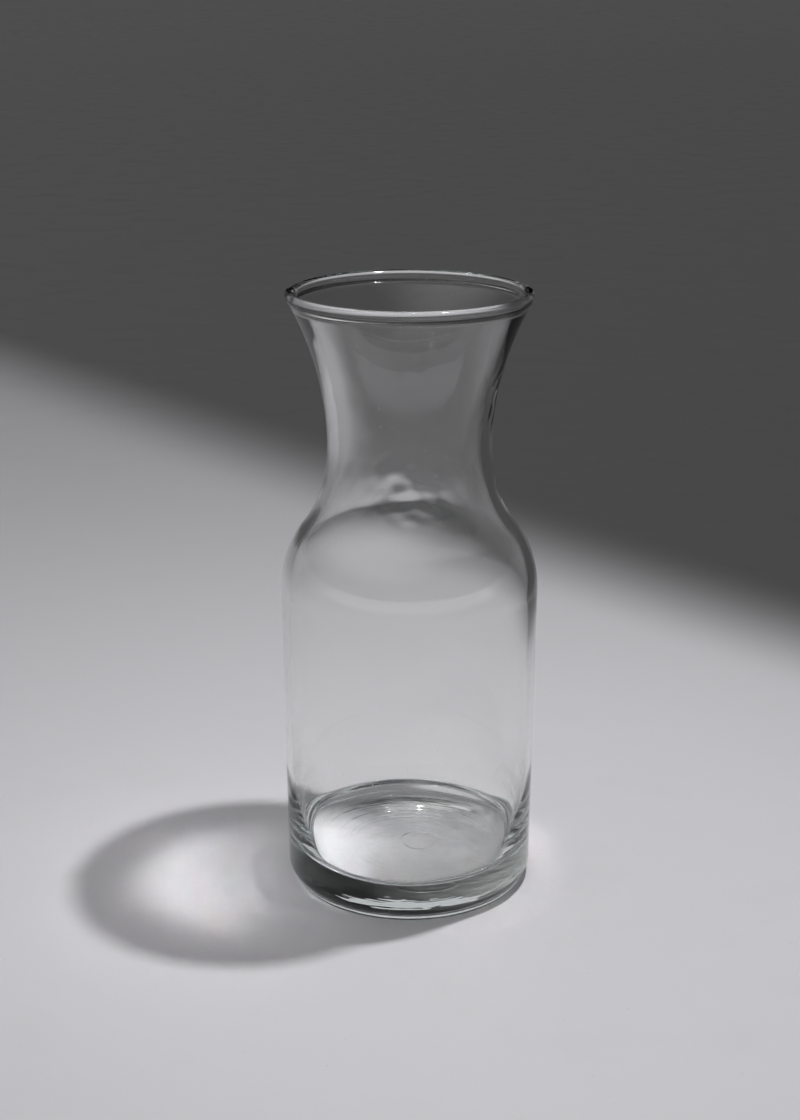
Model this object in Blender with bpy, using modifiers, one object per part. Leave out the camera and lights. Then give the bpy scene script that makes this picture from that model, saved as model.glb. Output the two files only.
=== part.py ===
"""A clear glass half-litre carafe in one piece, turned about the Z axis.

It stands on z = 0, with +Z up, and all sizes are in metres.
"""

import math

import bpy

OBJECT_NAME = "glass_carafe"
PIECE_NAME = "glass_body"

# Outside sizes
HEIGHT = 0.190                # standing face to the top of the lip
HEEL_DIAMETER = 0.0781        # body just above the heel
SHOULDER_DIAMETER = 0.0798    # body where the shoulder starts
SHOULDER_HEIGHT = 0.0974      # where the straight body ends
SHOULDER_RADIUS = 0.0320      # round of the shoulder, outside
WAIST_DIAMETER = 0.0500       # narrowest part of the neck, outside
WAIST_HEIGHT = 0.1418         # height of the narrowest part
MOUTH_DIAMETER = 0.0737       # over the lip
HEEL_RADIUS = 0.0060          # round between the body and the standing face

# Lip, an oval bead melted smooth
LIP_THICKNESS = 0.0029        # across the bead
LIP_DEPTH = 0.0039            # up and down
LIP_OUTER_ANGLE = math.radians(-25)    # where the outside of the neck meets the bead
LIP_INNER_ANGLE = math.radians(200)    # where the inside of the neck meets it

# Walls, measured level
BODY_WALL = 0.0020            # upper body and shoulder
NECK_WALL = 0.0037            # narrowest part of the neck
BASE_WALL = 0.0055            # beside the inside floor
EVEN_WALL_HEIGHT = 0.0600     # below this the wall thickens towards the base

# Base
FLOOR_THICKNESS = 0.0150      # standing face to the inside floor
FLOOR_CORNER = 0.0020         # round between the inside floor and the wall
PUSH_UP_DIAMETER = 0.0300     # shallow hollow in the middle of the underside
PUSH_UP = 0.0013              # height of that hollow

# Fineness of the mesh
TURN_STEPS = 64               # round the axis
FLOOR_STEPS = 3
WALL_STEPS = 4
SHOULDER_STEPS = 6
NECK_STEPS = 6
FLARE_STEPS = 6
LIP_STEPS = 10
HEEL_STEPS = 5
PUSH_UP_STEPS = 3
MERGE_DISTANCE = 0.00001

# Look of the glass
GLASS_COLOUR = (0.93, 0.96, 0.945, 1.0)
GLASS_ROUGHNESS = 0.03
GLASS_IOR = 1.52


def arc(centre, radius, start, end, steps):
    """Points along an arc, both ends included, as (distance from the axis, height)."""
    points = []
    for step in range(steps + 1):
        angle = start + (end - start) * step / steps
        points.append((centre[0] + radius * math.cos(angle), centre[1] + radius * math.sin(angle)))
    return points


def bend_radius(run, drift):
    """Radius of an arc that starts out straight and has drifted sideways when it has gone a run."""
    return (run ** 2 + drift ** 2) / (2 * drift)


def body_radius(height):
    """Outside radius of the straight body, which widens a little towards the shoulder."""
    share = (height - HEEL_RADIUS) / (SHOULDER_HEIGHT - HEEL_RADIUS)
    return (HEEL_DIAMETER + (SHOULDER_DIAMETER - HEEL_DIAMETER) * share) / 2


def lip_point(angle):
    """A point on the oval bead, at an angle from the level outward direction."""
    across = MOUTH_DIAMETER / 2 - LIP_THICKNESS / 2 + LIP_THICKNESS / 2 * math.cos(angle)
    height = HEIGHT - LIP_DEPTH / 2 + LIP_DEPTH / 2 * math.sin(angle)
    return (across, height)


def lip():
    """Over the bead, from the inside of the mouth to the outside."""
    turn = LIP_OUTER_ANGLE - LIP_INNER_ANGLE
    return [lip_point(LIP_INNER_ANGLE + turn * step / LIP_STEPS) for step in range(LIP_STEPS + 1)]


def shoulder_and_neck(body_wall, neck_wall, lip_end):
    """From the top of the straight body up to the lip: three arcs that run smoothly into each other."""
    body = SHOULDER_DIAMETER / 2 - body_wall
    waist = WAIST_DIAMETER / 2 - neck_wall
    shoulder_radius = SHOULDER_RADIUS - body_wall
    rise = WAIST_HEIGHT - SHOULDER_HEIGHT
    centres_apart = bend_radius(rise, body - waist)
    neck_radius = centres_apart - shoulder_radius
    lean = math.asin(rise / centres_apart)
    flare_rise = lip_end[1] - WAIST_HEIGHT
    flare_radius = bend_radius(flare_rise, lip_end[0] - waist)
    flare_lean = math.asin(flare_rise / flare_radius)
    points = arc((body - shoulder_radius, SHOULDER_HEIGHT), shoulder_radius, 0, lean, SHOULDER_STEPS)
    points += arc((waist + neck_radius, WAIST_HEIGHT), neck_radius, math.pi + lean, math.pi, NECK_STEPS)[1:]
    points += arc((waist + flare_radius, WAIST_HEIGHT), flare_radius, math.pi, math.pi - flare_lean,
                  FLARE_STEPS)[1:]
    return points


def floor_and_wall():
    """From the middle of the inside floor, round its corner and up the thickened wall."""
    wall = body_radius(EVEN_WALL_HEIGHT) - BODY_WALL
    corner = body_radius(FLOOR_THICKNESS) - BASE_WALL
    radius = bend_radius(EVEN_WALL_HEIGHT - FLOOR_THICKNESS, wall - corner)
    centre = (wall - radius, EVEN_WALL_HEIGHT)
    corner_height = FLOOR_THICKNESS + FLOOR_CORNER
    reach = radius - FLOOR_CORNER
    lean = math.asin((EVEN_WALL_HEIGHT - corner_height) / reach)
    corner_centre = (centre[0] + reach * math.cos(lean), corner_height)
    points = [(0, FLOOR_THICKNESS)]
    points += arc(corner_centre, FLOOR_CORNER, -math.pi / 2, -lean, FLOOR_STEPS)
    points += arc(centre, radius, -lean, 0, WALL_STEPS)[1:]
    return points


def inside():
    """From the middle of the inside floor up to the lip."""
    return floor_and_wall() + shoulder_and_neck(BODY_WALL, NECK_WALL, lip_point(LIP_INNER_ANGLE))[:-1]


def outside():
    """From the lip down the neck and the body, and round the heel to the standing face."""
    upward = shoulder_and_neck(0, 0, lip_point(LIP_OUTER_ANGLE))[:-1]
    heel_centre = (HEEL_DIAMETER / 2 - HEEL_RADIUS, HEEL_RADIUS)
    return upward[::-1] + arc(heel_centre, HEEL_RADIUS, 0, -math.pi / 2, HEEL_STEPS)


def underside():
    """The hollow in the middle of the flat standing face, in to the axis."""
    edge = PUSH_UP_DIAMETER / 2
    radius = bend_radius(edge, PUSH_UP)
    half = math.asin(edge / radius)
    dome = arc((0, PUSH_UP - radius), radius, math.pi / 2 - half, math.pi / 2, PUSH_UP_STEPS)
    return dome[:-1] + [(0, PUSH_UP)]


def glass_material():
    material = bpy.data.materials.new("clear_glass")
    material.use_nodes = True
    shader = material.node_tree.nodes["Principled BSDF"]
    shader.inputs["Base Color"].default_value = GLASS_COLOUR
    shader.inputs["Roughness"].default_value = GLASS_ROUGHNESS
    shader.inputs["Metallic"].default_value = 0
    shader.inputs["IOR"].default_value = GLASS_IOR
    shader.inputs["Transmission Weight"].default_value = 1
    material.diffuse_color = GLASS_COLOUR
    return material


def glass_body(collection):
    """The whole carafe: one profile turned once round the axis."""
    profile = inside() + lip() + outside() + underside()
    edges = [(index, index + 1) for index in range(len(profile) - 1)]
    mesh = bpy.data.meshes.new(PIECE_NAME)
    mesh.from_pydata([(across, 0, height) for across, height in profile], edges, [])
    mesh.materials.append(glass_material())
    piece = bpy.data.objects.new(PIECE_NAME, mesh)
    collection.objects.link(piece)
    turn = piece.modifiers.new("turn", "SCREW")
    turn.axis = "Z"
    turn.angle = 2 * math.pi
    turn.steps = TURN_STEPS
    turn.render_steps = TURN_STEPS
    turn.use_merge_vertices = True
    turn.merge_threshold = MERGE_DISTANCE
    turn.use_smooth_shade = True


def main():
    for item in list(bpy.data.objects):
        bpy.data.objects.remove(item, do_unlink=True)
    collection = bpy.data.collections.new(OBJECT_NAME)
    bpy.context.scene.collection.children.link(collection)
    glass_body(collection)


if __name__ == "__main__":
    main()
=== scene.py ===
"""Looks of a clear glass half-litre carafe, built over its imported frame.

All sizes are in metres, with +Z up, and the carafe stands on z = 0. The front faces -Y.
"""

import math

import bpy
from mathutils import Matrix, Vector, noise


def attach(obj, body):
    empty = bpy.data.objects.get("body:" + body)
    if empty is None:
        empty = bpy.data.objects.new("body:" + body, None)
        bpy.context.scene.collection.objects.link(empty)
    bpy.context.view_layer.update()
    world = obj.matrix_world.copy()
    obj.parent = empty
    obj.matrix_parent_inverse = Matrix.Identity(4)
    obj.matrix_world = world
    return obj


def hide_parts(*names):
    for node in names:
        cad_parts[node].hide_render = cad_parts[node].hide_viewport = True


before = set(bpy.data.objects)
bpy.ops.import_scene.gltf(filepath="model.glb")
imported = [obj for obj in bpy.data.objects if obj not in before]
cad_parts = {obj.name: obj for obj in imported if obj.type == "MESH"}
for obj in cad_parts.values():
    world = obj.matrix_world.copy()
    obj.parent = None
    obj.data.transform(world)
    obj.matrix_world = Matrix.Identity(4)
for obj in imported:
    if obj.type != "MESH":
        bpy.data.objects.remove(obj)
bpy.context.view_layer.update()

# Outside sizes, as in the solid
HEIGHT = 0.190                # standing face to the top of the lip
HEEL_DIAMETER = 0.0781        # body just above the heel
SHOULDER_DIAMETER = 0.0798    # body where the shoulder starts
SHOULDER_HEIGHT = 0.0974      # where the straight body ends
SHOULDER_RADIUS = 0.0320      # round of the shoulder
WAIST_DIAMETER = 0.0500       # narrowest part of the neck
WAIST_HEIGHT = 0.1418         # height of the narrowest part
MOUTH_DIAMETER = 0.0737       # over the lip
HEEL_RADIUS = 0.0060          # round below the body

# Bead at the foot of the heel, which the carafe stands on
BEAD_RADIUS = 0.0016
BEAD_DISTANCE = 0.0358        # from the axis to the middle of the bead

# Lip, an oval bead melted smooth
LIP_THICKNESS = 0.0029        # across
LIP_DEPTH = 0.0039            # up and down
LIP_OUTER_ANGLE = math.radians(-50)    # where the outside of the neck meets it
LIP_INNER_ANGLE = math.radians(232)    # where the inside of the neck meets it

# Walls
BODY_WALL = 0.0020            # where the body is thinnest
SHOULDER_WALL = 0.0030
NECK_WALL = 0.0033            # narrowest part of the neck
NECK_WALL_START = 0.1280      # height from which the shoulder's wall turns into the neck's
EVEN_WALL_HEIGHT = 0.0400     # below this the wall thickens towards the base

# Inside floor, and the wall and corner beside it, which differ at the back
FLOOR_THICKNESS = 0.0141
FRONT_WALL = 0.0042
FRONT_CORNER = 0.0042
BACK_WALL = 0.0058
BACK_CORNER = 0.0018
BACK_START = 0.10             # shares of the way to the back, where the change starts
BACK_FULL = 0.80              # and where it is full

# The inside floor lies askew, and the wall above it comes true again between two heights
FLOOR_SLOPE = math.tan(math.radians(5.3))
FLOOR_SLOPE_LOW = 0.016
FLOOR_SLOPE_HIGH = 0.050

# Underside: a shallow dish, deepest off its middle, and a ring pressed into it
DISH_CENTRE = (0.003, -0.004)
DISH_RADIUS = 0.0340
DISH_DEPTH = 0.0005
DISH_RIM = 0.25               # share of the depth below which the unevenness fades out
RING_CENTRE = (0.0035, 0.0)
RING_RADIUS = 0.0060
RING_WIDTH = 0.0007
RING_DEPTH = 0.00005

# Knots on the lip: angle round the axis and how far the lip swells there
LIP_KNOTS = (
    (math.radians(178), 0.00045),
    (math.radians(186), -0.0003),
    (math.radians(3), 0.00032),
    (math.radians(-6), -0.0003),
    (math.radians(11), 0.0002),
)
KNOT_REACH = math.radians(3.0)

# Rougher places of the inside: angle round the axis, height, reach, depth and length of a wave
ROUGH_PLACES = (
    (math.radians(2), 0.066, 0.010, 0.00030, 0.0035),
    (math.radians(-4), 0.158, 0.014, 0.00016, 0.0035),
    (math.radians(87), 0.1205, 0.018, 0.00070, 0.0052),
    (math.radians(-84), 0.170, 0.016, 0.00005, 0.0035),
)

# Waver of the surfaces: length of a wave and how far it stands out
WALL_WAVER = ((0.016, 0.00006), (0.005, 0.000012))
FLOOR_WAVER = ((0.012, 0.00008), (0.004, 0.000012))
UNDER_WAVER = ((0.006, 0.00004), (0.0022, 0.000014))
WALL_WAVER_START = 0.020      # height where the floor's waver ends and the wall's starts
WALL_WAVER_FULL = 0.045
FLOOR_WAVER_FULL = 0.026      # distances from the axis between which the floor's waver fades
FLOOR_WAVER_END = 0.030

# Ripples of the underside, which run in rings round the axis
UNDER_RIPPLE = ((0.006, 0.00003),)
RIPPLE_CLOSENESS = 6          # how many times closer the rings lie than a wave is long
RIPPLE_TURN = 0.004           # how far they wander in one radian
RIPPLE_START = 0.004          # distances from the axis between which they grow
RIPPLE_FULL = 0.028

# Fineness of the meshes
TURN_STEPS = 192              # round the axis
SHOULDER_STEPS = 24
NECK_STEPS = 24
FLARE_STEPS = 30
LIP_STEPS = 24
FLOOR_STEPS = 18
CORNER_STEPS = 14
THICK_WALL_STEPS = 32
EVEN_WALL_STEPS = 16
BODY_STEPS = 24
HEEL_STEPS = 12
BEAD_STEPS = 14
UNDERSIDE_STEPS = 110
SHEET_STEPS = 128
COVE_STEPS = 24

# Camera, fitted to the photograph's outline
FRAME_HEIGHT = 1120           # pixels
FOCAL_PIXELS = 1862.2
SENSOR_HEIGHT = 36            # millimetres
CAMERA_PLACE = (-0.00290, -0.54859, 0.28770)
CAMERA_DROP = math.radians(18.372)
CAMERA_NEAREST = 0.01

# Small lamp beside the carafe
KEY_PLACE = (0.10, 0.015, 0.55)
KEY_AIM = (-0.15, -0.10, 0.0)
KEY_SIZE = 0.018
KEY_GLASS_SIZE = 0.036
KEY_FLOOR_ENERGY = 1.65
KEY_GLASS_ENERGY = 2.10

# Wide soft lamp over the floor in front
FRONT_PLACE = (0.0, -5.00, 1.60)
FRONT_SIZE = (16.0, 8.0)
FRONT_SPREAD = math.radians(50)
FRONT_ENERGY = 300.0

# Board that shades the far floor from the small lamp. Its shadow ends along a line that comes nearer to the
# right. Each point of the board's lower edge has the place across where its shadow falls, its own height, and
# how much nearer than the line the shadow comes.
SHADE_LINE = 0.42
SHADE_SLANT = 0.97
SHADE_EDGE = ((-2.0, 0.50, 0), (-0.256, 0.48, 0), (0.131, 0.48, 0.030), (2.0, 0.48, 0.31))
SHADE_TOP = 0.6               # above the lamp

# Soft fill of the room, for the ways that a view can point
FILL_DIRECTION = (-0.75, -0.10, 0.62)    # to its brightest part
FILL_START = 0.0              # how far a view points that way where the fill starts
FILL_LOW = 0.005              # level in the dark
FILL_HIGH = 0.74              # what the brightest part adds
FILL_DARK = 0.30              # how far a view points up where the room is still dark
FILL_CLEAR = 0.70             # and where the fill is full

# Light in the glass
LIGHT_BOUNCES = 24
GLOSSY_BOUNCES = 12
GLOSSY_BLUR = 0.30

# Clear glass
GLASS_IOR = 1.52
GLASS_TINT = (0.78, 0.88, 0.84, 1)
TINT_DENSITY = 8
MARKS_ON_GLASS = 40           # closeness of the marks
SMEAR_ROUGHNESS = 0.03
SPECK_ROUGHNESS = 0.55
GLASS_GRAIN = 0.0000005       # how far the grain stands out

# Card of the floor. Its colour falls off into a dark end behind the carafe, which is painted shade: it stands
# in for the room's fill being kept off the far floor, beside the board's real shadow of the small lamp.
PALE_CARD = (0.722, 0.712, 0.742, 1)
# colour of the painted shade at the far end
PAINTED_SHADE_CARD = (0.205, 0.205, 0.208, 1)
CARD_MARKS = (0.80, 0.79, 0.78, 1)
CARD_ROUGHNESS = 0.64
CARD_SMEAR_ROUGHNESS = 0.12   # added where the card is smeared
CARD_SMEAR_TONE = 0.10        # how much of the marks' colour a smear takes
MARKS_ON_CARD = 25
CARD_GRAIN = 0.000008
# The painted shade of the dark end: where it comes in behind the axis, and its soft slanting edge
PAINTED_SHADE_FRONT = 0.0              # distances behind the axis between which the dark end comes in
PAINTED_SHADE_BACK = 0.25
PAINTED_SHADE_SLANT = 1.22             # how much nearer its edge comes for each metre to the right
PAINTED_SHADE_START = 0.33             # how far back the edge starts, in the middle
PAINTED_SHADE_END = 0.51               # and where it ends

# Marks of use, with the closeness of specks and grain against that of smears
SMEAR_DETAIL = 3
SMEAR_START = 0.50
SMEAR_FULL = 0.72
SPECK_CLOSENESS = 9
SPECK_INNER = 0.03            # where the soft edge of a speck starts, from its middle
SPECK_OUTER = 0.07            # and where it ends
SPECKS_LEFT_OUT = 0.7         # share of the places for a speck that stay clean
GRAIN_CLOSENESS = 40

# Floor, in two sheets that meet round the foot of the carafe. The outer one rises softly far away.
FLOOR_GAP = 0.0002            # under the standing face
FLOOR_SEAM = 0.0440           # distance from the axis
FLOOR_RINGS = (0.08, 0.2, 0.6, 2)
COVE_START = 5.0
COVE_RADIUS = 5.0
COVE_TURN = math.radians(45)

# Sockets of a mix of two colours
MIX_FIRST = 6
MIX_SECOND = 7
MIX_RESULT = 2


def arc(centre, radius, start, end, steps):
    """Points along an arc, both ends included, as (distance from the axis, height)."""
    points = []
    for step in range(steps + 1):
        angle = start + (end - start) * step / steps
        points.append((centre[0] + radius * math.cos(angle), centre[1] + radius * math.sin(angle)))
    return points


def line(start, end, steps):
    """Points along a straight line, without its start."""
    return [(start[0] + (end[0] - start[0]) * step / steps, start[1] + (end[1] - start[1]) * step / steps)
            for step in range(1, steps + 1)]


def bend_radius(run, drift):
    """Radius of an arc that starts out straight and has drifted sideways when it has gone a run."""
    return (run ** 2 + drift ** 2) / (2 * drift)


def ease(value, low, high):
    """0 below low, 1 above high, and a soft step between them."""
    share = min(max((value - low) / (high - low), 0), 1)
    return share * share * (3 - 2 * share)


def between(first, second, share):
    """The value at a share of the way from first to second."""
    return first + (second - first) * share


def body_radius(height):
    """Outside radius of the straight body, which widens a little towards the shoulder."""
    share = (height - HEEL_RADIUS) / (SHOULDER_HEIGHT - HEEL_RADIUS)
    return (HEEL_DIAMETER + (SHOULDER_DIAMETER - HEEL_DIAMETER) * share) / 2


def lip_point(angle):
    """A point on the oval bead of the lip, at an angle from the level outward direction."""
    across = MOUTH_DIAMETER / 2 - LIP_THICKNESS / 2 + LIP_THICKNESS / 2 * math.cos(angle)
    return (across, HEIGHT - LIP_DEPTH / 2 + LIP_DEPTH / 2 * math.sin(angle))


def outer_neck():
    """The outside from the top of the straight body to the narrowest part of the neck: the place of each
    point and how far it faces up."""
    body = SHOULDER_DIAMETER / 2
    waist = WAIST_DIAMETER / 2
    rise = WAIST_HEIGHT - SHOULDER_HEIGHT
    centres_apart = bend_radius(rise, body - waist)
    neck_radius = centres_apart - SHOULDER_RADIUS
    lean = math.asin(rise / centres_apart)
    points = arc((body - SHOULDER_RADIUS, SHOULDER_HEIGHT), SHOULDER_RADIUS, 0, lean, SHOULDER_STEPS)
    points += arc((waist + neck_radius, WAIST_HEIGHT), neck_radius, math.pi + lean, math.pi, NECK_STEPS)[1:]
    turns = [lean * step / SHOULDER_STEPS for step in range(SHOULDER_STEPS + 1)]
    turns += [lean * (1 - step / NECK_STEPS) for step in range(1, NECK_STEPS + 1)]
    return list(zip(points, turns))


def flare(waist, lip_end):
    """From the narrowest part of the neck up to the lip, without its start."""
    rise = lip_end[1] - WAIST_HEIGHT
    radius = bend_radius(rise, lip_end[0] - waist)
    lean = math.asin(rise / radius)
    return arc((waist + radius, WAIST_HEIGHT), radius, math.pi, math.pi - lean, FLARE_STEPS)[1:]


def inner_neck():
    """The inside from the shoulder up to the lip. The wall is even in the shoulder and thickens a little up
    to the narrowest part of the neck."""
    points = []
    for (across, height), turn in outer_neck():
        wall = between(SHOULDER_WALL, NECK_WALL, ease(height, NECK_WALL_START, WAIST_HEIGHT))
        points.append((across - wall * math.cos(turn), height - wall * math.sin(turn)))
    return points + flare(points[-1][0], lip_point(LIP_INNER_ANGLE))[:-1]


def inside(angle):
    """From beside the middle of the inside floor up to the lip, at an angle round the axis."""
    back = ease(math.sin(angle), BACK_START, BACK_FULL)
    base_wall = between(FRONT_WALL, BACK_WALL, back)
    corner_radius = between(FRONT_CORNER, BACK_CORNER, back)
    wall = body_radius(EVEN_WALL_HEIGHT) - BODY_WALL
    corner = body_radius(FLOOR_THICKNESS) - base_wall
    radius = bend_radius(EVEN_WALL_HEIGHT - FLOOR_THICKNESS, wall - corner)
    centre = (wall - radius, EVEN_WALL_HEIGHT)
    corner_height = FLOOR_THICKNESS + corner_radius
    reach = radius - corner_radius
    lean = math.asin((EVEN_WALL_HEIGHT - corner_height) / reach)
    corner_centre = (centre[0] + reach * math.cos(lean), corner_height)
    round_corner = arc(corner_centre, corner_radius, -math.pi / 2, -lean, CORNER_STEPS)
    points = line((0, FLOOR_THICKNESS), round_corner[0], FLOOR_STEPS) + round_corner[1:]
    points += arc(centre, radius, -lean, 0, THICK_WALL_STEPS)[1:]
    neck = inner_neck()
    return points + line(points[-1], neck[0], EVEN_WALL_STEPS)[:-1] + neck


def lip():
    """Over the bead, from the inside of the mouth to the outside."""
    turn = LIP_OUTER_ANGLE - LIP_INNER_ANGLE
    return [lip_point(LIP_INNER_ANGLE + turn * step / LIP_STEPS) for step in range(LIP_STEPS + 1)]


def heel():
    """Round the heel to the crease above the bead, and round the bead that the carafe stands on."""
    centre = (HEEL_DIAMETER / 2 - HEEL_RADIUS, HEEL_RADIUS)
    bead = (BEAD_DISTANCE, BEAD_RADIUS)
    apart = math.hypot(bead[0] - centre[0], bead[1] - centre[1])
    along = (apart ** 2 + HEEL_RADIUS ** 2 - BEAD_RADIUS ** 2) / (2 * apart)
    aside = math.sqrt(HEEL_RADIUS ** 2 - along ** 2)
    toward = ((bead[0] - centre[0]) / apart, (bead[1] - centre[1]) / apart)
    crease = (centre[0] + along * toward[0] - aside * toward[1],
              centre[1] + along * toward[1] + aside * toward[0])
    heel_end = math.atan2(crease[1] - centre[1], crease[0] - centre[0])
    bead_start = math.atan2(crease[1] - bead[1], crease[0] - bead[0])
    points = arc(centre, HEEL_RADIUS, 0, heel_end, HEEL_STEPS)
    return points + arc(bead, BEAD_RADIUS, bead_start, -math.pi / 2, BEAD_STEPS)[1:]


def outside():
    """From the lip down the neck and the body, round the heel and in over the underside."""
    upward = [point for point, turn in outer_neck()]
    upward += flare(WAIST_DIAMETER / 2, lip_point(LIP_OUTER_ANGLE))[:-1]
    down = upward[::-1]
    round_heel = heel()
    points = down + line(down[-1], round_heel[0], BODY_STEPS)[:-1] + round_heel
    return points + line(round_heel[-1], (0, 0), UNDERSIDE_STEPS)[:-1]


def waver(x, y, z, waves):
    """How far the surface stands out at a point, from slow and quick waves laid over each other."""
    return sum(depth * noise.noise(Vector((x, y, z)) / length) for length, depth in waves)


def roughness_depth(x, y, z):
    """How far the rougher places of the inside stand out at a point."""
    depth = 0
    across = math.hypot(x, y)
    for angle, height, reach, swing, wave in ROUGH_PLACES:
        apart = math.hypot(x - across * math.cos(angle), y - across * math.sin(angle), z - height) / reach
        if apart < 1:
            depth += (1 - apart) * waver(x, y, z, ((wave, swing),))
    return depth


def shaped_inside(x, y, z):
    """The inside floor lies a little askew and the walls waver; higher up the wall stands true."""
    weight = 1 - ease(z, FLOOR_SLOPE_LOW, FLOOR_SLOPE_HIGH)
    across = math.hypot(x, y)
    if z > WALL_WAVER_START:
        rise = ease(z, WALL_WAVER_START, WALL_WAVER_FULL)
        share = 1 + (waver(x, y, z, WALL_WAVER) * rise + roughness_depth(x, y, z)) / across
        x *= share
        y *= share
    else:
        z += waver(x, y, z, FLOOR_WAVER) * (1 - ease(across, FLOOR_WAVER_FULL, FLOOR_WAVER_END))
    return (x, y, z + weight * FLOOR_SLOPE * y)


def shaped_lip(x, y, z):
    """The melted lip thickens and thins where it was last worked, at its two sides."""
    across = math.hypot(x, y)
    turn = math.atan2(y, x)
    swell = 0
    for angle, swing in LIP_KNOTS:
        apart = (turn - angle + math.pi) % (2 * math.pi) - math.pi
        swell += swing * math.exp(-(apart / KNOT_REACH) ** 2)
    middle = (MOUTH_DIAMETER / 2 - LIP_THICKNESS / 2, HEIGHT - LIP_DEPTH / 2)
    grown = 1 + swell / (LIP_THICKNESS / 2)
    wide = middle[0] + (across - middle[0]) * grown
    return (x * wide / across, y * wide / across, min(middle[1] + (z - middle[1]) * grown, HEIGHT))


def shaped_underside(x, y, z):
    """The shallow dish of the underside, with faint ripples and a ring pressed into it."""
    across = math.hypot(x, y)
    inward = max(1 - (across / DISH_RADIUS) ** 2, 0)
    lean = (x * DISH_CENTRE[0] + y * DISH_CENTRE[1]) * 2 / DISH_RADIUS ** 2
    ripple = waver(across * RIPPLE_CLOSENESS, math.atan2(y, x) * RIPPLE_TURN, 0, UNDER_RIPPLE)
    uneven = waver(x, y, 0, UNDER_WAVER) + ripple * ease(across, RIPPLE_START, RIPPLE_FULL)
    z += DISH_DEPTH * inward * (1 + lean) + uneven * min(inward / DISH_RIM, 1)
    ring = (math.hypot(x - RING_CENTRE[0], y - RING_CENTRE[1]) - RING_RADIUS) / RING_WIDTH
    return (x, y, z + RING_DEPTH * math.exp(-ring ** 2))


def glass_mesh():
    """The carafe as one closed skin: rings round the axis, each point moved by its own side's shaping."""
    turns = [2 * math.pi * step / TURN_STEPS for step in range(TURN_STEPS)]
    rings = [(points, shaped_inside) for points in zip(*[inside(angle) for angle in turns])]
    rings += [([point] * TURN_STEPS, shaped_lip) for point in lip()]
    rings += [([point] * TURN_STEPS, shaped_underside if point[1] == 0 else None) for point in outside()]
    vertices = [shaped_inside(0, 0, FLOOR_THICKNESS)]
    for points, shaping in rings:
        for angle, (across, height) in zip(turns, points):
            place = (across * math.cos(angle), across * math.sin(angle), height)
            vertices.append(shaping(*place) if shaping else place)
    vertices.append(shaped_underside(0, 0, 0))
    faces = []
    last = len(vertices) - 1
    for step in range(TURN_STEPS):
        after = (step + 1) % TURN_STEPS
        faces.append((0, 1 + step, 1 + after))
        for ring in range(len(rings) - 1):
            low = 1 + ring * TURN_STEPS
            high = low + TURN_STEPS
            faces.append((low + step, high + step, high + after, low + after))
        low = 1 + (len(rings) - 1) * TURN_STEPS
        faces.append((low + step, last, low + after))
    mesh = bpy.data.meshes.new("clear_glass_body")
    mesh.from_pydata(vertices, [], faces)
    mesh.polygons.foreach_set("use_smooth", [True] * len(mesh.polygons))
    mesh.update()
    return mesh


def feed(tree, socket, value):
    """Links a socket to another one, or sets it to a plain number or colour."""
    if isinstance(value, bpy.types.NodeSocket):
        tree.links.new(value, socket)
    else:
        socket.default_value = value


def stepped(tree, value, low, high, first, second):
    """A value turned softly from first to second between low and high."""
    step = tree.nodes.new("ShaderNodeMapRange")
    step.interpolation_type = "SMOOTHSTEP"
    for name, number in (("From Min", low), ("From Max", high), ("To Min", first), ("To Max", second)):
        step.inputs[name].default_value = number
    tree.links.new(value, step.inputs["Value"])
    return step.outputs["Result"]


def worked_out(tree, operation, *values):
    """The outcome of a sum on sockets and plain numbers."""
    node = tree.nodes.new("ShaderNodeMath")
    node.operation = operation
    for socket, value in zip(node.inputs, values):
        feed(tree, socket, value)
    return node.outputs["Value"]


def mixed(tree, blend, factor, first, second):
    """Two colours blended by a factor."""
    mix = tree.nodes.new("ShaderNodeMix")
    mix.data_type = "RGBA"
    mix.blend_type = blend
    tree.links.new(factor, mix.inputs["Factor"])
    feed(tree, mix.inputs[MIX_FIRST], first)
    feed(tree, mix.inputs[MIX_SECOND], second)
    return mix.outputs[MIX_RESULT]


def measured_along(tree, place, direction):
    """How far a place lies along a direction."""
    along = tree.nodes.new("ShaderNodeVectorMath")
    along.operation = "DOT_PRODUCT"
    tree.links.new(place, along.inputs[0])
    along.inputs[1].default_value = direction
    return along.outputs["Value"]


def axis_part(tree, place, axis):
    """How far a place lies along X, Y or Z."""
    parts = tree.nodes.new("ShaderNodeSeparateXYZ")
    tree.links.new(place, parts.inputs["Vector"])
    return parts.outputs[axis]


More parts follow.
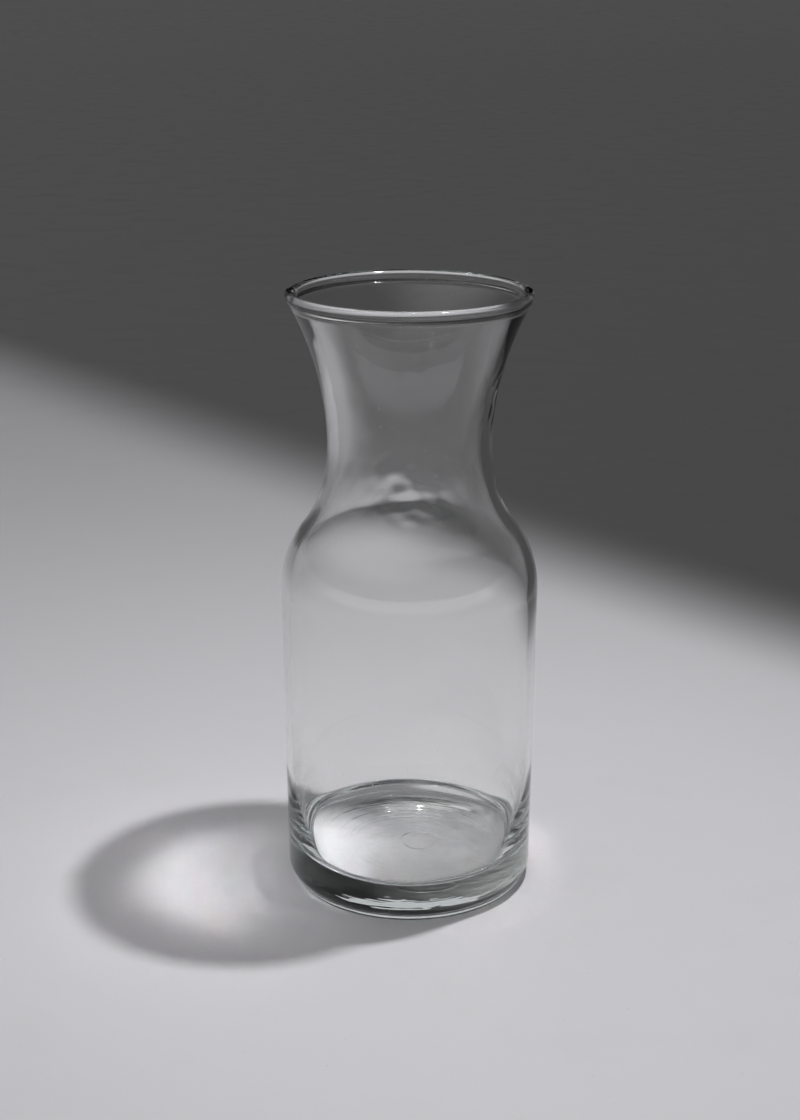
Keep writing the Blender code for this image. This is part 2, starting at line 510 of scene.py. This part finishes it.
def fine_marks():
    """Marks of use on both materials: broad smears, small specks and a fine grain, each from 0 to 1."""
    group = bpy.data.node_groups.new("fine_marks", "ShaderNodeTree")
    group.interface.new_socket("Scale", in_out="INPUT", socket_type="NodeSocketFloat")
    for name in ("Smear", "Speck", "Grain"):
        group.interface.new_socket(name, in_out="OUTPUT", socket_type="NodeSocketFloat")
    nodes = group.nodes
    links = group.links
    given = nodes.new("NodeGroupInput")
    result = nodes.new("NodeGroupOutput")
    place = nodes.new("ShaderNodeTexCoord")
    sized = nodes.new("ShaderNodeVectorMath")
    sized.operation = "SCALE"
    links.new(place.outputs["Object"], sized.inputs[0])
    links.new(given.outputs["Scale"], sized.inputs["Scale"])
    smear = nodes.new("ShaderNodeTexNoise")
    smear.inputs["Detail"].default_value = SMEAR_DETAIL
    speck = nodes.new("ShaderNodeTexVoronoi")
    grain = nodes.new("ShaderNodeTexNoise")
    for texture, closeness in ((smear, 1), (speck, SPECK_CLOSENESS), (grain, GRAIN_CLOSENESS)):
        texture.inputs["Scale"].default_value = closeness
        links.new(sized.outputs["Vector"], texture.inputs["Vector"])
    chance = nodes.new("ShaderNodeSeparateColor")
    links.new(speck.outputs["Color"], chance.inputs["Color"])
    chosen = worked_out(group, "GREATER_THAN", chance.outputs["Red"], SPECKS_LEFT_OUT)
    dots = stepped(group, speck.outputs["Distance"], SPECK_INNER, SPECK_OUTER, 1, 0)
    links.new(stepped(group, smear.outputs["Fac"], SMEAR_START, SMEAR_FULL, 0, 1), result.inputs["Smear"])
    links.new(worked_out(group, "MULTIPLY", dots, chosen), result.inputs["Speck"])
    links.new(grain.outputs["Fac"], result.inputs["Grain"])
    return group


def marked(tree, group, scale, depth):
    """Adds the fine marks to a material and lets their grain stand out by a depth."""
    marks = tree.nodes.new("ShaderNodeGroup")
    marks.node_tree = group
    marks.inputs["Scale"].default_value = scale
    bump = tree.nodes.new("ShaderNodeBump")
    bump.inputs["Distance"].default_value = depth
    tree.links.new(marks.outputs["Grain"], bump.inputs["Height"])
    tree.links.new(bump.outputs["Normal"], tree.nodes["Principled BSDF"].inputs["Normal"])
    return marks.outputs


def clear_glass(group):
    """Clear glass with a faint green tint, a few smears and specks and an almost even skin."""
    material = bpy.data.materials.new("clear_glass")
    material.use_nodes = True
    tree = material.node_tree
    shader = tree.nodes["Principled BSDF"]
    marks = marked(tree, group, MARKS_ON_GLASS, GLASS_GRAIN)
    specks = worked_out(tree, "MULTIPLY", marks["Speck"], SPECK_ROUGHNESS)
    roughness = worked_out(tree, "MULTIPLY_ADD", marks["Smear"], SMEAR_ROUGHNESS, specks)
    tree.links.new(roughness, shader.inputs["Roughness"])
    shader.inputs["Base Color"].default_value = (1, 1, 1, 1)
    shader.inputs["IOR"].default_value = GLASS_IOR
    shader.inputs["Transmission Weight"].default_value = 1
    tint = tree.nodes.new("ShaderNodeVolumeAbsorption")
    tint.inputs["Color"].default_value = GLASS_TINT
    tint.inputs["Density"].default_value = TINT_DENSITY
    tree.links.new(tint.outputs["Volume"], tree.nodes["Material Output"].inputs["Volume"])
    return material


def floor_card_with_painted_shade(group):
    """Plain pale card whose colour falls off into dark grey behind the carafe, along a soft slanting edge:
    painted shade.
    """
    material = bpy.data.materials.new("pale_card_with_painted_shade")
    material.use_nodes = True
    tree = material.node_tree
    shader = tree.nodes["Principled BSDF"]
    marks = marked(tree, group, MARKS_ON_CARD, CARD_GRAIN)
    roughness = worked_out(tree, "MULTIPLY_ADD", marks["Smear"], CARD_SMEAR_ROUGHNESS, CARD_ROUGHNESS)
    tree.links.new(roughness, shader.inputs["Roughness"])
    place = tree.nodes.new("ShaderNodeTexCoord").outputs["Object"]
    # Painted shade: the card's colour darkens behind the carafe and towards the far floor, where the fill is
    # taken to be shut off.
    behind = stepped(tree, axis_part(tree, place, "Y"), PAINTED_SHADE_FRONT, PAINTED_SHADE_BACK, 0, 1)
    far = stepped(tree, measured_along(tree, place, (PAINTED_SHADE_SLANT, 1, 0)), PAINTED_SHADE_START, PAINTED_SHADE_END, 0, 1)
    card = mixed(tree, "MIX", worked_out(tree, "MULTIPLY", behind, far), PALE_CARD, PAINTED_SHADE_CARD)
    wear = worked_out(tree, "MULTIPLY_ADD", marks["Smear"], CARD_SMEAR_TONE, marks["Speck"])
    tree.links.new(mixed(tree, "MULTIPLY", wear, card, CARD_MARKS), shader.inputs["Base Color"])
    return material


def placed(name, data):
    """A new object in the scene."""
    thing = bpy.data.objects.new(name, data)
    bpy.context.scene.collection.objects.link(thing)
    return thing


def round_sheet(name, rings, material):
    """A round sheet through rings of a radius and a height, or the level inside of a single ring."""
    vertices = []
    faces = []
    for radius, height in rings:
        for step in range(SHEET_STEPS):
            angle = 2 * math.pi * step / SHEET_STEPS
            vertices.append((radius * math.cos(angle), radius * math.sin(angle), height))
    for ring in range(len(rings) - 1):
        low = ring * SHEET_STEPS
        high = low + SHEET_STEPS
        for step in range(SHEET_STEPS):
            after = (step + 1) % SHEET_STEPS
            faces.append((low + step, high + step, high + after, low + after))
    if len(rings) == 1:
        faces.append(tuple(range(SHEET_STEPS)))
    mesh = bpy.data.meshes.new(name)
    mesh.from_pydata(vertices, [], faces)
    mesh.materials.append(material)
    sheet = placed(name, mesh)
    sheet.location.z = -FLOOR_GAP
    return sheet


def light_only(lamp, things):
    """Keeps a lamp's light to a few things."""
    lit = bpy.data.collections.new("lit_by_" + lamp.name)
    lamp.light_linking.receiver_collection = lit
    for thing in things:
        lit.objects.link(thing)


def key_lamp(name, energy, size, lit, through_glass):
    """The small lamp beside the carafe. Lamps in one place stand for it: one for the glass, one for the floor
    under it, and one for the floor around, whose light is bent sharply by the glass on the way."""
    lamp = bpy.data.lights.new(name, "AREA")
    lamp.shape = "DISK"
    lamp.size = size
    lamp.energy = energy
    lamp.cycles.is_caustics_light = through_glass
    key = placed(name, lamp)
    key.location = KEY_PLACE
    key.rotation_euler = (Vector(KEY_PLACE) - Vector(KEY_AIM)).to_track_quat("Z", "Y").to_euler()
    key.visible_camera = False
    light_only(key, [lit])


def front_lamp(floor):
    """A soft lamp over the floor in front. It lights the floor alone, and the glass shows that floor as a
    pale sheen on its neck and body."""
    lamp = bpy.data.lights.new("front_lamp", "AREA")
    lamp.shape = "RECTANGLE"
    lamp.size, lamp.size_y = FRONT_SIZE
    lamp.spread = FRONT_SPREAD
    lamp.energy = FRONT_ENERGY
    soft = placed("front_lamp", lamp)
    soft.location = FRONT_PLACE
    soft.visible_camera = False
    light_only(soft, [floor])


def lamp_shade():
    """A board beside the small lamp that keeps its light off the far floor. It shows only by its shadow."""
    lamp = Vector(KEY_PLACE)
    edge = []
    for across, height, nearer in SHADE_EDGE:
        spot = Vector((across, SHADE_LINE - SHADE_SLANT * across - nearer, 0))
        edge.append(lamp + (spot - lamp) * (1 - height / lamp.z))
    count = len(edge)
    vertices = edge + [Vector((point.x, point.y, lamp.z + SHADE_TOP)) for point in edge]
    faces = [(step, step + 1, count + step + 1, count + step) for step in range(count - 1)]
    mesh = bpy.data.meshes.new("lamp_shade")
    mesh.from_pydata(vertices, [], faces)
    board = placed("lamp_shade", mesh)
    board.visible_camera = False
    board.visible_diffuse = False
    board.visible_glossy = False
    board.visible_transmission = False


def room():
    """Soft fill from all round, bright overhead and towards the left, and dark low down."""
    world = bpy.data.worlds.new("soft_fill")
    world.use_nodes = True
    tree = world.node_tree
    background = tree.nodes["Background"]
    view = tree.nodes.new("ShaderNodeTexCoord").outputs["Generated"]
    towards = measured_along(tree, view, Vector(FILL_DIRECTION).normalized())
    raised = stepped(tree, axis_part(tree, view, "Z"), FILL_DARK, FILL_CLEAR, 0, 1)
    level = worked_out(tree, "MULTIPLY", raised, stepped(tree, towards, FILL_START, 1, 0, FILL_HIGH))
    tree.links.new(worked_out(tree, "ADD", level, FILL_LOW), background.inputs["Strength"])
    background.inputs["Color"].default_value = (1, 1, 1, 1)
    bpy.context.scene.world = world


def studio(glass, group):
    """The floor that the carafe stands on, the lamps with their shade, and the room."""
    card = floor_card_with_painted_shade(group)
    middle = round_sheet("pale_floor_middle", [(FLOOR_SEAM, 0)], card)
    level = [(radius, 0) for radius in (FLOOR_SEAM, *FLOOR_RINGS)]
    rising = arc((COVE_START, COVE_RADIUS), COVE_RADIUS, -math.pi / 2, COVE_TURN - math.pi / 2, COVE_STEPS)
    around = round_sheet("pale_floor", level + rising, card)
    around.cycles.is_caustics_receiver = True
    key_lamp("key_lamp_floor", KEY_FLOOR_ENERGY, KEY_SIZE, around, True)
    key_lamp("key_lamp_middle", KEY_FLOOR_ENERGY, KEY_SIZE, middle, False)
    key_lamp("key_lamp_glass", KEY_GLASS_ENERGY, KEY_GLASS_SIZE, glass, False)
    front_lamp(around)
    lamp_shade()
    room()


def photo_camera():
    """The camera where the photograph was taken from."""
    lens = bpy.data.cameras.new("photo_camera")
    lens.sensor_fit = "VERTICAL"
    lens.sensor_height = SENSOR_HEIGHT
    lens.lens = FOCAL_PIXELS * SENSOR_HEIGHT / FRAME_HEIGHT
    lens.clip_start = CAMERA_NEAREST
    camera = placed("photo_camera", lens)
    camera.location = CAMERA_PLACE
    camera.rotation_euler = (math.pi / 2 - CAMERA_DROP, 0, 0)
    bpy.context.scene.camera = camera


def main():
    scene = bpy.context.scene
    scene.view_settings.view_transform = "Standard"
    scene.cycles.max_bounces = LIGHT_BOUNCES
    scene.cycles.transmission_bounces = LIGHT_BOUNCES
    scene.cycles.glossy_bounces = GLOSSY_BOUNCES
    scene.cycles.blur_glossy = GLOSSY_BLUR
    scene.cycles.sample_clamp_indirect = 0
    photo_camera()
    marks = fine_marks()
    glass = placed("clear_glass_body", glass_mesh())
    glass.data.materials.append(clear_glass(marks))
    glass.cycles.is_caustics_caster = True
    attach(glass, "root")
    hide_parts("glass_body")
    studio(glass, marks)


main()
